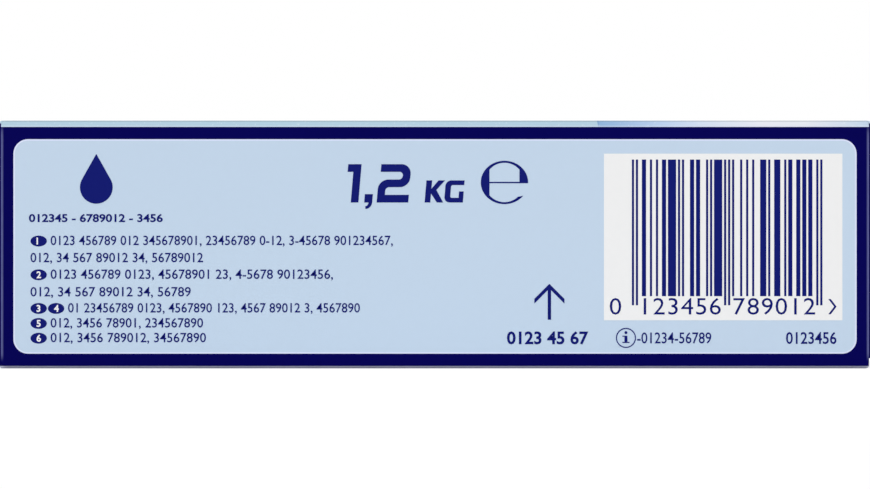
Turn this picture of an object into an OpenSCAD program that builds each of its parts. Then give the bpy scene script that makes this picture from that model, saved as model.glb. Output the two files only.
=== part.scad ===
// Dishwasher salt pack: a folding carton, filled and glued shut at both ends, lying on its back panel.
// X runs across the front panel, Y from the bottom end to the top end and Z from the back panel up
// to the front panel. The origin is the middle of the back panel's outside face.
// The filled carton is one closed solid. Its print is laid out as fields of colour: on the two ends
// the dark ink is the outermost level, and the pale ground and the white field lie just under it.

/* [Carton] */
// Width across the front panel
pack_w = 143.6; // [140:0.2:180]
// Length from the bottom end to the top end
pack_l = 190; // [130:1:240]
// Thickness from the back panel to the front panel
pack_t = 40.8; // [40:0.2:60]
// Outside radius of the creases
crease_r = 0.5; // [0.3:0.05:0.8]
// Thickness of the carton board
board_t = 0.45; // [0.3:0.05:0.7]

/* [End flaps] */
// Clearance from the outer flap's cut sides to the side panels
flap_side_gap = 0.16; // [0.1:0.02:0.25]
// Clearance from the outer flap's free edge to the back panel
flap_end_gap = 0.4; // [0.2:0.05:0.6]
// Radius of the outer flap's two free corners
flap_corner_r = 0.6; // [0.3:0.1:1.5]

/* [Glued seam] */
// Height of the glue tab's fold that shows under the right side panel's cut edge
seam_h = 1.65; // [1.2:0.05:2.5]
// Depth of the step from the right side panel down to the glue tab
seam_step = 0.2; // [0.1:0.02:0.28]

/* [Printed border] */
// How far the front panel's print wraps down over the outer flaps
front_wrap = 1.04; // [0.9:0.02:1.6]
// Width of the dark border along the outer flap's cut edges
border_w = 2; // [1.5:0.1:2.5]
// Width of the dark border under the wrapped print
border_top_w = 1.84; // [1.4:0.02:2.4]
// Corner radius of the pale panel
panel_r = 2.4; // [1:0.1:4]
// Height of one level of print over the level under it
print_step = 0.04; // [0.02:0.01:0.08]

/* [Bar code] */
// Width of the narrowest bar
module_w = 0.33; // [0.3:0.01:0.36]
// Height of an ordinary bar
bar_h = 22.5; // [18:0.1:23]
// How far the guard bars reach below the others
guard_drop = 1.5; // [0.5:0.1:2]
// White margin left of the bars
quiet_left = 4.57; // [3.6:0.01:5]
// White margin right of the bars
quiet_right = 3.44; // [2.4:0.01:4]
// White margin over the bars
quiet_top = 0.97; // [0.5:0.01:1.5]
// White margin under the guard bars, for the plain digits
quiet_bottom = 2.47; // [2:0.01:3]
// Clearance from the white field to the pale panel's right edge
field_right_gap = 2.38; // [1:0.01:5]
// Clearance from the white field to the pale panel's top edge
field_top_gap = 2.56; // [1:0.01:4]

/* [Net weight] */
// Left end of the figures' baseline, from the pale panel's lower left corner
weight_place = [55.2, 24.9]; // [22:0.1:58]
// Height of the figures
figure_h = 6.3; // [5:0.1:7]
// Width of the rounder figure
figure_w = 5.2; // [4:0.1:5.6]
// Thickness of the figures' strokes
figure_stroke = 1.25; // [0.8:0.05:1.4]
// Outside radius of the rounder figure's bends
figure_r = 1.5; // [1.3:0.05:1.5]
// Space between the figures and the comma
figure_gap = 0.8; // [0.3:0.05:1]
// Space between the figures, the unit and the round sign
group_gap = 2.7; // [1.5:0.1:3]
// Height of the unit's letters
unit_h = 3.6; // [3:0.1:5]
// Thickness of the unit's strokes
unit_stroke = 0.8; // [0.5:0.05:1]
// Space between the unit's letters
unit_gap = 0.3; // [0.2:0.05:1]
// Outside radius of the round sign after the unit
sign_r = 3.7; // [2.5:0.05:4]
// Thickness of the round sign's bar
sign_bar = 0.3; // [0.2:0.05:0.5]

/* [Small print] */
// Left end of the top line, from the pale panel's lower left corner
lines_place = [2.9, 18]; // [2:0.1:18.5]
// Length of each line, from the top one down
line_lengths = [59.9, 28.6, 50, 26.5, 54.4, 28.6, 29]; // [10:0.1:60]
// Number of small ovals at the start of each line
line_ovals = [1, 0, 1, 0, 2, 1, 1]; // [0:1:2]
// Distance from one line to the next
line_pitch = 2.72; // [2.4:0.02:2.8]
// Height of the bars that stand for words
word_h = 1.1; // [0.6:0.1:1.3]
// Space between words
word_gap = 0.9; // [0.5:0.1:1.5]
// Length of an oval
oval_w = 2.62; // [2.2:0.02:3]
// Height of an oval
oval_h = 1.75; // [1.4:0.05:2]

/* [Other marks] */
// Foot of the drop sign, from the pale panel's lower left corner
drop_place = [13.7, 24.7]; // [12:0.1:26]
// Height of the drop sign
drop_h = 8.2; // [6:0.1:9]
// Radius of the drop's round end
drop_r = 2.7; // [1.5:0.1:3]
// Left end of the short line under the drop, from the pale panel's lower left corner
motto_place = [2.6, 21.7]; // [2:0.1:22]
// Lengths of the bars in that line
motto_words = [6.6, 7.2, 5]; // [3:0.1:8]
// Foot of the arrow sign, from the pale panel's lower left corner
arrow_place = [88.4, 5.6]; // [5:0.1:92]
// Height of the arrow sign
arrow_h = 5.9; // [4:0.1:7]
// Thickness of the arrow's strokes
arrow_stroke = 0.55; // [0.4:0.05:0.9]
// Left end of the bold line under the arrow, from the pale panel's lower left corner
bold_place = [81.4, 1.6]; // [1:0.1:83]
// Lengths of the bars in that line
bold_words = [6.6, 2.1, 2.9]; // [1:0.1:7]
// Height of the bars in that line
bold_h = 1.9; // [1.4:0.1:2.2]
// Middle of the ring sign, from the pale panel's lower left corner
ring_place = [101.1, 2.6]; // [2:0.1:102]
// Outside radius of the ring sign
ring_r = 1.65; // [1.2:0.05:1.8]
// Thickness of the ring's stroke
ring_stroke = 0.25; // [0.2:0.05:0.4]
// Length of the bar beside the ring
code_w = 12; // [8:0.1:14]
// Length of the bar near the pale panel's right edge
number_w = 8.3; // [5:0.1:10]

/* [Front panel] */
// Radius of the large curved field
sweep_r = 150; // [140:1:220]
// Where the curved field's edge meets the bottom crease, from the middle of the pack
sweep_foot = 26.7; // [15:0.1:30]
// Angle at which that edge leans over at the crease
sweep_lean = 10; // [5:1:15]

/* [Colours] */
// Dark ink of the border, the side panels and the marks
ink_colour = "#090753"; // [#090753:Navy, #0B3A5E:Petrol, #0A4A3A:Dark green]
// Pale ground of the end panels and the back panel
ground_colour = "#C2D4E7"; // [#C2D4E7:Pale blue, #D5E6DC:Pale green, #E4DECF:Sand]
// Front panel
front_colour = "#B4CEDE"; // [#B4CEDE:Ice blue, #C4E0D2:Mint, #E2D8BE:Straw]
// Curved field on the front panel
sweep_colour = "#8FB2D9"; // [#8FB2D9:Sky blue, #8CC3A8:Green, #D2B77C:Gold]
// Field behind the bar code
white_colour = "#EEEEEE"; // [#EEEEEE:White, #E2E2DC:Off white]

/* [Hidden] */
$fn = 48;
// Facets of the large curved field's edge
SWEEP_FACETS = 256;

// Outer flaps, and the pale panels on them
flap_w = pack_w - 2 * flap_side_gap;
panel_w = flap_w - 2 * border_w;
panel_bottom = flap_end_gap + border_w;
panel_top = pack_t - front_wrap - border_top_w;
panel_h = panel_top - panel_bottom;

// Depths of the levels of print under the outermost one. Every level is laid on the board, which
// starts at the last depth
white_depth = print_step;
ground_depth = 2 * print_step;
board_depth = 3 * print_step;

// Widths of the space, bar, space and bar that make one digit, from nought to nine, in modules
DIGIT_WIDTHS = [
    [3, 2, 1, 1], [2, 2, 2, 1], [2, 1, 2, 2], [1, 4, 1, 1], [1, 1, 3, 2],
    [1, 2, 3, 1], [1, 1, 1, 4], [1, 3, 1, 2], [1, 2, 1, 3], [3, 1, 1, 2]
];
// Plain digits that the two halves of the bar code stand for
LEFT_DIGITS = [1, 2, 3, 4, 5, 6];
RIGHT_DIGITS = [7, 8, 9, 0, 1, 2];
DIGIT_MODULES = 7;
GUARD_MODULES = 3;
MIDDLE_MODULES = 5;
half_modules = DIGIT_MODULES * len(LEFT_DIGITS);
code_modules = 2 * half_modules + 2 * GUARD_MODULES + MIDDLE_MODULES;
bars_w = code_modules * module_w;
field_w = bars_w + quiet_left + quiet_right;
field_h = quiet_top + bar_h + guard_drop + quiet_bottom;

// Figures: width of the figure one, and height of each half of the figure two
one_w = 1.75 * figure_stroke;
bow_h = (figure_h + figure_stroke) / 2;

// Widths of the unit's letters, and corner radius of the second one
k_w = 0.85 * unit_h;
g_w = 0.81 * unit_h;
g_r = 0.25 * unit_h;

// Round sign: thickness of its ring at the sides and at the top, and height of its open mouth
sign_side_w = 0.24 * sign_r;
sign_top_w = 0.12 * sign_r;
sign_mouth_h = 0.38 * sign_r;

// Arrow sign: how far its head reaches out and down, and how thick the head's arms are, up and down
arrow_head = 0.42 * arrow_h;
arrow_arm_h = 1.4 * arrow_stroke;

// Ring sign: height of the stroke in it and radius of the dot over the stroke
ring_mark_h = 0.75 * ring_r;
ring_dot_r = 0.7 * ring_stroke;

// Lengths that the words of the small print take in turn, and how many of them each line steps on by
WORD_LENGTHS = [2.4, 5.2, 3.6, 7.4, 4.4, 3, 6.2];
WORDS_PER_ROW = 2;

// Rectangle with rounded corners, centred
module rounded_rect(w, h, r) {
    square([w - 2 * r, h], center = true);
    square([w, h - 2 * r], center = true);
    for (sx = [-1, 1], sy = [-1, 1])
        translate([sx * (w / 2 - r), sy * (h / 2 - r)]) circle(r);
}

// Stands a flat shape, drawn across and up, on the plane y = 0 and gives it a depth towards +Y
module upright(depth) {
    translate([0, depth, 0]) rotate([90, 0, 0]) linear_extrude(depth) children();
}

// Repeats a shape of the bottom end at the top end
module at_both_ends() {
    for (turn = [0, 180]) rotate([0, 0, turn]) translate([0, -pack_l / 2, 0]) children();
}

// The four folded panels, seen from the bottom end, with the glue tab's fold at the lower right
module folded_section() {
    difference() {
        translate([0, pack_t / 2]) rounded_rect(pack_w, pack_t, crease_r);
        translate([pack_w / 2 - seam_step, -crease_r]) square([2 * seam_step, seam_h + crease_r]);
    }
}

// From the side: the outer flaps hinge at the front creases and end short of the back panel
module side_outline() {
    intersection() {
        translate([0, pack_t / 2]) rounded_rect(pack_l, pack_t, crease_r);
        translate([-pack_l / 2, flap_end_gap]) square([pack_l, pack_t]);
    }
    translate([0, pack_t / 4]) rounded_rect(pack_l - 2 * board_t, pack_t / 2, crease_r);
}

// From above: the outer flaps lie on the folded ends of the side panels, a little narrower
module plan_outline() {
    square([flap_w, pack_l], center = true);
    rounded_rect(pack_w, pack_l - 2 * board_t, crease_r);
}

// What the outer flap's rounded corners leave off
module flap_corner_waste() {
    for (side = [-1, 1])
        translate([side * (flap_w / 2 - flap_corner_r), flap_end_gap + flap_corner_r])
            difference() {
                translate([side * flap_corner_r, -flap_corner_r])
                    square(2 * flap_corner_r, center = true);
                circle(flap_corner_r);
            }
}

module carton_form() {
    difference() {
        intersection() {
            translate([0, -pack_l / 2, 0]) upright(pack_l) folded_section();
            translate([-pack_w / 2, 0, 0]) rotate([90, 0, 90]) linear_extrude(pack_w) side_outline();
            linear_extrude(pack_t) plan_outline();
        }
        at_both_ends() upright(board_t) flap_corner_waste();
    }
}

// Where the front panel's print lies, seen from the bottom end: down to the creases at the sides,
// and further down on the outer flaps
module front_outline() {
    translate([-pack_w / 2, pack_t - crease_r]) square([pack_w, crease_r]);
    translate([-flap_w / 2, pack_t - front_wrap]) square([flap_w, front_wrap]);
}

module back_outline() {
    translate([-pack_w / 2, 0]) square([pack_w, flap_end_gap]);
}

// What of the carton lies within an outline seen from the bottom end
module carton_within() {
    intersection() {
        carton_form();
        translate([0, -pack_l / 2, 0]) upright(pack_l) children();
    }
}

// Large curved field on the front panel, which runs over the bottom crease
module sweep() {
    translate([
        sweep_foot + sweep_r * cos(sweep_lean),
        sweep_r * sin(sweep_lean) - pack_l / 2
    ]) linear_extrude(2 * pack_t) circle(sweep_r, $fn = SWEEP_FACETS);
}

// Front panel, with the strips of its print that wrap down over the outer flaps
module front_print() {
    color(front_colour) difference() {
        carton_within() front_outline();
        sweep();
    }
    color(sweep_colour) intersection() {
        carton_within() front_outline();
        sweep();
    }
}

// Back panel, with its fold that shows past the outer flap's free edge
module back_print() {
    color(ground_colour) carton_within() back_outline();
}

module panel_outline() {
    translate([0, panel_bottom + panel_h / 2]) rounded_rect(panel_w, panel_h, panel_r);
}

// Side panels and the dark borders of both ends, with places for the pale panels sunk in
module border_print() {
    color(ink_colour) difference() {
        carton_within() difference() {
            translate([-pack_w / 2, 0]) square([pack_w, pack_t]);
            front_outline();
            back_outline();
        }
        at_both_ends() translate([0, -board_depth, 0]) upright(2 * board_depth) panel_outline();
    }
}

module pale_panels() {
    color(ground_colour) at_both_ends()
        translate([0, ground_depth, 0]) upright(board_depth - ground_depth) panel_outline();
}

// Lays a shape, drawn from the pale panel's lower left corner, on the bottom end at a level of print
module on_bottom_end(level) {
    translate([-panel_w / 2, level - pack_l / 2, panel_bottom])
        upright(board_depth - level) children();
}

function sum_before(list, i) = i == 0 ? 0 : list[i - 1] + sum_before(list, i - 1);

// The two bars of each digit. A digit starts with a space left of the middle, and with a bar right of it
module digit_bars(digits, first_bar) {
    for (i = [0 : len(digits) - 1], k = [first_bar, first_bar + 2]) {
        widths = DIGIT_WIDTHS[digits[i]];
        translate([(i * DIGIT_MODULES + sum_before(widths, k)) * module_w, guard_drop])
            square([widths[k] * module_w, bar_h]);
    }
}

// Two thin bars that reach lower than the others
module guard_bars() {
    for (k = [0, 2]) translate([k * module_w, 0]) square([module_w, guard_drop + bar_h]);
}

module bar_code() {
    guard_bars();
    translate([GUARD_MODULES * module_w, 0]) digit_bars(LEFT_DIGITS, 1);
    translate([(GUARD_MODULES + half_modules + 1) * module_w, 0]) guard_bars();
    translate([(GUARD_MODULES + half_modules + MIDDLE_MODULES) * module_w, 0])
        digit_bars(RIGHT_DIGITS, 0);
    translate([(code_modules - GUARD_MODULES) * module_w, 0]) guard_bars();
}

// Stem with a short flag at its top left
module figure_one() {
    translate([one_w - figure_stroke, 0]) square([figure_stroke, figure_h]);
    translate([0, figure_h - figure_stroke]) square([one_w, figure_stroke]);
}

module comma() {
    square(figure_stroke);
    polygon([[0, -figure_stroke], [0, 0], [figure_stroke, 0]]);
}

// Stroke that bulges to one side and turns back over two round corners
module bend(side) {
    difference() {
        union() {
            square([2 * figure_r, bow_h - 2 * figure_r], center = true);
            for (sy = [-1, 1]) translate([0, sy * (bow_h / 2 - figure_r)]) circle(figure_r);
        }
        translate([-side * figure_stroke, 0])
            square([2 * figure_r, bow_h - 2 * figure_stroke], center = true);
        translate([-side * figure_r, 0]) square([2 * figure_r, 2 * bow_h], center = true);
    }
}

// Bend to the right over a bend to the left, with three level strokes
module figure_two() {
    translate([figure_w - figure_r, figure_h - bow_h / 2]) bend(1);
    translate([figure_r, bow_h / 2]) bend(-1);
    translate([0, figure_h - figure_stroke]) square([figure_w - figure_r, figure_stroke]);
    translate([figure_r, bow_h - figure_stroke]) square([figure_w - 2 * figure_r, figure_stroke]);
    square([figure_w, figure_stroke]);
}

// Upright stroke with an arm and a leg
module letter_k() {
    crotch = [k_w / 2 + unit_stroke / 4, unit_h / 2 + unit_stroke / 4];
    tip_w = 1.3 * unit_stroke;
    square([unit_stroke, unit_h]);
    polygon([
        [unit_stroke, unit_h / 2 - unit_stroke / 2],
        [k_w - tip_w, 0],
        [k_w, 0],
        crotch,
        [k_w, unit_h],
        [k_w - tip_w, unit_h],
        [unit_stroke, unit_h / 2 + unit_stroke / 2]
    ]);
}

// Open square ring with round corners at its left and a short stroke up from its foot
module letter_g() {
    difference() {
        union() {
            translate([g_w / 2, unit_h / 2]) rounded_rect(g_w, unit_h, g_r);
            translate([g_w / 2, 0]) square([g_w / 2, unit_h]);
        }
        translate([unit_stroke, unit_stroke]) square([g_w, unit_h - 2 * unit_stroke]);
    }
    translate([g_w - unit_stroke, 0]) square([unit_stroke, unit_h / 2]);
}

// Broken ring, thicker at its sides, with a bar across
module round_sign() {
    inner_w = sign_r - sign_top_w;
    difference() {
        circle(sign_r);
        intersection_for (side = [-1, 1])
            translate([side * (sign_side_w - sign_top_w) / 2, 0])
                circle(sign_r - (sign_side_w + sign_top_w) / 2);
        translate([0, -sign_bar / 2 - sign_mouth_h]) square([sign_r, sign_mouth_h]);
    }
    translate([-inner_w, -sign_bar / 2]) square([2 * inner_w, sign_bar]);
}

module net_weight() {
    comma_left = one_w + figure_gap;
    two_left = comma_left + figure_stroke + figure_gap;
    unit_left = two_left + figure_w + group_gap;
    g_left = unit_left + k_w + unit_gap;
    sign_left = g_left + g_w + group_gap;
    figure_one();
    translate([comma_left, 0]) comma();
    translate([two_left, 0]) figure_two();
    translate([unit_left, 0]) letter_k();
    translate([g_left, 0]) letter_g();
    translate([sign_left + sign_r, figure_h / 2]) round_sign();
}

module oval() {
    translate([oval_h / 2, -oval_h / 2]) square([oval_w - oval_h, oval_h]);
    for (x = [oval_h / 2, oval_w - oval_h / 2]) translate([x, 0]) circle(oval_h / 2);
}

function word(i) = WORD_LENGTHS[i % len(WORD_LENGTHS)];
function word_start(first, i) = i == 0 ? 0 : word_start(first, i - 1) + word(first + i - 1) + word_gap;

// Bars that stand for the words of one line, from a given word of the list on
module words(length, first) {
    for (i = [0 : ceil(length / (min(WORD_LENGTHS) + word_gap))]) {
        start = word_start(first, i);
        if (start < length - word_h)
            translate([start, 0]) square([min(word(first + i), length - start), word_h]);
    }
}

module small_print() {
    for (row = [0 : len(line_lengths) - 1])
        translate([0, -row * line_pitch]) {
            ovals_w = line_ovals[row] * (oval_w + word_gap / 2);
            for (k = [0 : 1 : line_ovals[row] - 1])
                translate([k * (oval_w + word_gap / 2), word_h / 2]) oval();
            translate([ovals_w, 0]) words(line_lengths[row] - ovals_w, row * WORDS_PER_ROW);
        }
}

// Bars of the given lengths in one row
module bar_row(lengths, h) {
    for (i = [0 : len(lengths) - 1])
        translate([sum_before(lengths, i) + i * word_gap, 0]) square([lengths[i], h]);
}

// Round end below and a point above
module drop() {
    lean = asin(drop_r / (drop_h - drop_r));
    touch = [drop_r * cos(lean), drop_r * (1 + sin(lean))];
    translate([0, drop_r]) circle(drop_r);
    polygon([[0, drop_h], [-touch[0], touch[1]], touch]);
}

// Upright stroke with an open head
module arrow() {
    arm_top = arrow_h - arrow_head;
    translate([-arrow_stroke / 2, 0]) square([arrow_stroke, arrow_h - arrow_stroke]);
    for (side = [-1, 1]) polygon([
        [0, arrow_h],
        [side * arrow_head, arm_top],
        [side * arrow_head, arm_top - arrow_arm_h],
        [0, arrow_h - arrow_arm_h]
    ]);
}

// Ring with a dot over a short stroke
module ring_sign() {
    difference() {
        circle(ring_r);
        circle(ring_r - ring_stroke);
    }
    translate([-ring_stroke / 2, -ring_r / 2]) square([ring_stroke, ring_mark_h]);
    translate([0, ring_r / 2]) circle(ring_dot_r);
}

// Marks in dark ink on the bottom end's pale panel
module marks() {
    translate(weight_place) net_weight();
    translate(drop_place) drop();
    translate(motto_place) bar_row(motto_words, word_h);
    translate(lines_place) small_print();
    translate(arrow_place) arrow();
    translate(bold_place) bar_row(bold_words, bold_h);
    translate(ring_place) ring_sign();
    translate(ring_place + [ring_r + ring_stroke, -word_h / 2]) square([code_w, word_h]);
    translate([panel_w - field_right_gap - number_w, ring_place[1] - word_h / 2])
        square([number_w, word_h]);
}

// Places a shape by the white field's lower left corner
module in_white_field() {
    translate([panel_w - field_right_gap - field_w, panel_h - field_top_gap - field_h]) children();
}

module carton() {
    front_print();
    back_print();
    border_print();
    pale_panels();
    color(white_colour) on_bottom_end(white_depth) in_white_field() square([field_w, field_h]);
    color(ink_colour) {
        on_bottom_end(0) in_white_field() translate([quiet_left, quiet_bottom]) bar_code();
        on_bottom_end(0) marks();
    }
}

carton();
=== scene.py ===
"""Dishwasher salt pack: the folded, printed and glued carton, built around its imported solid."""

import math

import bmesh
import bpy
from bpy.props import FloatProperty, FloatVectorProperty, IntProperty, PointerProperty
from mathutils import Matrix, Vector


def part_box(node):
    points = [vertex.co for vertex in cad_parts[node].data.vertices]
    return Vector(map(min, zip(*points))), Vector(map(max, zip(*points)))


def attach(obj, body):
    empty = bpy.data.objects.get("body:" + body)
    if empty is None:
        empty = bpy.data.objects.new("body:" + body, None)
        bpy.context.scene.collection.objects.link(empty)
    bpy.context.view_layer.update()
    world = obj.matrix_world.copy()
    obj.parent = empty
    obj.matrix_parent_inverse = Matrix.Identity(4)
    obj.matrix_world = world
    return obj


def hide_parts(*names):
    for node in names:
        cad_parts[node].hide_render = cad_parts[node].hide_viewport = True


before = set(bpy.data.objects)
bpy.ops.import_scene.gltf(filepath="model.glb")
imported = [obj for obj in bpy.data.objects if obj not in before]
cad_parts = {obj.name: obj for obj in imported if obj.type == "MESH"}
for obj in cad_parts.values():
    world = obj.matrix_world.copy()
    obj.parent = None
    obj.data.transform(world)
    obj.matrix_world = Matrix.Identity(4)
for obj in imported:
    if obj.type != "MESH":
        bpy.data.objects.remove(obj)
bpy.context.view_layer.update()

bl_info = {
    "name": "Dishwasher salt pack",
    "version": (1, 0, 0),
    "blender": (4, 5, 0),
    "location": "3D View > Sidebar > Salt pack",
    "description": "Builds a sealed carton of dishwasher salt with its printed bottom end",
    "category": "Add Mesh",
}

BODY = "root"
NODE = "carton"
LOW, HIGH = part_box(NODE)
WIDTH = HIGH.x - LOW.x
LENGTH = HIGH.y - LOW.y
THICKNESS = HIGH.z - LOW.z
# Points nearer than this are one point, and faces nearer than NEAR lie in one plane, in metres
MERGE = 5e-7
NEAR = 1e-5
# Levels of print on the ends, from the board out
PALE_LEVEL, FIELD_LEVEL, INK_LEVEL = 1, 2, 3
# Height of the plain font's digits as a share of its size
DIGIT_SHARE = 0.68
# Plain digits under the bar code, which is worked out from them
CODE_DIGITS = "0123456789012"
# Widths of the space, bar, space and bar of each digit from nought to nine, in modules
DIGIT_WIDTHS = ("3211", "2221", "2122", "1411", "1132", "1231", "1114", "1312", "1213", "3112")
# Digits in each half of the bar code, and modules of a digit, an outer guard and the middle guard
HALF_DIGITS, DIGIT_MODULES, GUARD_MODULES, MIDDLE_MODULES = 6, 7, 3, 5
# Colours of the front's curved field from its edge inwards, each with its share of the way
FIELD_STOPS = (
    (0.0, (143, 178, 217)), (0.08, (160, 188, 223)), (0.21, (187, 207, 236)),
    (0.34, (210, 222, 239)), (0.54, (230, 231, 240)), (0.67, (228, 231, 238)),
    (0.84, (200, 216, 233)), (1.0, (168, 194, 226)),
)
# Turn and softness of each lamp, in degrees
LAMPS = (("key", (52, 0, -28), 40), ("fill", (60, 0, 55), 60))


# Properties


def mm(value):
    """A length in metres from one in millimetres."""
    return value / 1000


def srgb(red, green, blue):
    """A colour as a shader takes it, from its screen values between 0 and 255."""
    def linear(value):
        value /= 255
        return value / 12.92 if value <= 0.04045 else ((value + 0.055) / 1.055) ** 2.4
    return linear(red), linear(green), linear(blue)


def length(name, value, description):
    """A length property with its default in millimetres."""
    return FloatProperty(
        name=name, description=description, default=mm(value), min=0, precision=5, unit="LENGTH"
    )


def place(name, value, description):
    """A property with two lengths: across and up, in millimetres."""
    return FloatVectorProperty(
        name=name, description=description, default=(mm(value[0]), mm(value[1])), size=2,
        precision=5, unit="LENGTH"
    )


def colour(name, value, description):
    """A colour property with its default in screen values."""
    return FloatVectorProperty(
        name=name, description=description, default=srgb(*value), size=3, min=0, max=1,
        subtype="COLOR"
    )


class CartonSizes(bpy.types.PropertyGroup):
    """Sizes of the folded board."""

    board: length("Board thickness", 0.45, "Thickness of the carton board")
    crease: length("Crease radius", 0.5, "Outside radius of the folds")
    side_gap: length("Side gap", 0.33, "From the outer flap's cut sides to the side panels")
    end_gap: length("End gap", 0.4, "From the outer flap's free edge to the back panel")
    flap_corner: length("Flap corner", 0.6, "Radius of the outer flap's free corners")
    tuck: length("Tuck", 0.6, "How far the outer flap's solid reaches into the folds behind it")
    cut_round: length("Cut edge", 0.05, "Rounding of the flap's cut edges")
    seam_height: length("Seam height", 1.65, "Height of the glue tab's fold under the side panel")
    seam_step: length("Seam step", 0.33, "Depth of the step from the side panel to the glue tab")
    front_crown: length("Front crown", 0.42, "How far the filled pack bulges the front panel")
    side_crown: length("Side crown", 0.3, "How far the filled pack bulges each side panel")
    ink_step: length("Print level", 0.02, "Height of one level of print over the one under it")
    ink_root: length("Print root", 0.1, "How deep a printed field reaches into the board")
    crown_cells: IntProperty(
        name="Crown cells", description="Cuts along each panel that let it bulge", default=16, min=4
    )


class PanelSizes(bpy.types.PropertyGroup):
    """Layout of the printed border, the pale panel and the bar code's white field."""

    front_wrap: length("Front wrap", 1.04, "How far the front print wraps down over the flap")
    border: length("Border", 2.045, "Dark border along the flap's cut sides")
    foot_border: length("Lower border", 2.02, "Dark border along the flap's free edge")
    top_border: length("Top border", 2.02, "Dark border under the wrapped print")
    corner: length("Panel corner", 2.4, "Corner radius of the pale panel")
    field_right: length("Field right gap", 2.335, "From the white field to the panel's right edge")
    field_top: length("Field top gap", 2.38, "From the white field to the panel's top edge")
    module: length("Module", 0.33, "Width of the narrowest bar")
    ink_spread: length("Ink spread", 0.015, "How far the ink runs out at either side of a bar")
    bar_height: length("Bar height", 22.5, "Height of an ordinary bar")
    guard_drop: length("Guard drop", 1.5, "How far the guard bars reach below the others")
    quiet_left: length("Left margin", 4.61, "White margin left of the bars")
    quiet_right: length("Right margin", 3.31, "White margin right of the bars")
    quiet_top: length("Top margin", 0.97, "White margin over the bars")
    quiet_bottom: length("Bottom margin", 2.47, "White margin under the guard bars")
    digit_height: length("Digit height", 2.69, "Height of the plain digits")
    digit_base: length("Digit base", 0.95, "From the white field's lower edge to the digits")
    digit_width: length("Digit width", 1.64, "Width of the digits' cells")
    digit_stretch: FloatProperty(
        name="Digit stretch", description="How much wider than the plain font's the digits are",
        default=1.1
    )
    digit_pitch: length("Digit pitch", 2.317, "From one digit to the next")
    first_digit: length("First digit", 1.08, "From the white field's left edge to the first digit")
    end_mark: place("End mark", (36.95, 1.0), "Lower left end of the closing mark in the white field")
    end_size: place("End mark size", (1.35, 2.5), "Width and height of the closing mark")
    end_stroke: length("End mark stroke", 0.4, "Thickness of the closing mark, across")


class MarkSizes(bpy.types.PropertyGroup):
    """Sizes and places of the marks, from the pale panel's lower left corner."""

    weight: place("Net weight", (54.88, 24.9), "Left end of the figures' baseline")
    figure_height: length("Figure height", 6.3, "Height of the figures")
    figure_width: length("Figure width", 5.2, "Width of the rounder figure")
    figure_stroke: length("Figure stroke", 1.25, "Thickness of the figures' strokes")
    figure_bend: length("Figure bend", 1.6, "Outside radius of the figures' bends")
    figure_inner: length("Figure inner bend", 0.6, "Inside radius of the figures' bends")
    figure_gap: length("Figure gap", 0.8, "Space between the figures and the comma")
    group_gap: length("Group gap", 2.7, "Space between the figures, the unit and the round sign")
    unit_height: length("Unit height", 3.63, "Height of the unit's letters")
    unit_stem: length("Unit stem", 0.93, "Thickness of the unit's upright strokes")
    unit_stroke: length("Unit stroke", 0.76, "Thickness of the unit's level strokes")
    unit_gap: length("Unit gap", 0.15, "Space between the unit's letters")
    slant: FloatProperty(
        name="Slant", description="How far the figures and the unit lean over",
        default=math.radians(4.8), subtype="ANGLE"
    )
    sign: place("Round sign", (7.8, 7.13), "Width and height of the round sign")
    sign_rise: length("Sign rise", 0.15, "From the figures' middle up to the round sign's")
    sign_inner: length("Sign's inside", 3.25, "Radius of the round sign's inside")
    sign_mouth: length("Sign's flat", 2.47, "From the round sign's middle to its flat inner sides")
    sign_bar: length("Sign's bar", 0.22, "Thickness of the round sign's bar")
    lines: place("Lines", (2.81, 18.0), "Left end of the top line of small print")
    line_digit: length("Line digit", 1.5, "Height of the small print's digits")
    line_drop: length("Line drop", 0.1, "From the lines' places down to the digits' feet")
    oval: place("Oval", (2.7, 1.79), "Length and height of an oval")
    oval_gap: length("Oval gap", 0.17, "Space between an oval and the next one")
    oval_space: length("Oval space", 0.45, "Added between the last oval and its line")
    oval_rise: length("Oval rise", 0.55, "From the lines' places up to the ovals' middles")
    oval_digit: length("Oval digit", 1.05, "Height of the digits in the ovals")
    drop: place("Drop", (13.65, 24.7), "Foot of the drop sign")
    drop_height: length("Drop height", 8.2, "Height of the drop sign")
    drop_radius: length("Drop radius", 2.7, "Radius of the drop's round end")
    motto: place("Short line", (2.55, 21.72), "Left end of the short line under the drop")
    arrow: place("Arrow", (88.26, 5.6), "Foot of the arrow sign")
    arrow_height: length("Arrow height", 5.9, "Height of the arrow sign")
    arrow_stroke: length("Arrow stroke", 0.55, "Thickness of the arrow's strokes")
    bold: place("Bold line", (81.27, 1.63), "Left end of the bold line under the arrow")
    ring: place("Ring", (100.87, 2.6), "Middle of the ring sign")
    ring_radius: length("Ring radius", 1.65, "Outside radius of the ring sign")
    ring_stroke: length("Ring stroke", 0.18, "Thickness of the ring")
    code: place("Code line", (102.72, 1.72), "Left end of the line beside the ring")
    number: place("Number line", (127.23, 1.65), "Left end of the line near the panel's right edge")


class FrontSizes(bpy.types.PropertyGroup):
    """The curved field on the front panel."""

    radius: length("Sweep radius", 150, "Radius of the curved field's edge")
    foot: length("Sweep foot", 26.7, "Where that edge meets the bottom crease, from the middle")
    lean: FloatProperty(
        name="Sweep lean", description="How far that edge leans over at the crease",
        default=math.radians(10), subtype="ANGLE"
    )
    fade: length("Sweep fade", 50, "How far the field's colours take to run through")


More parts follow.
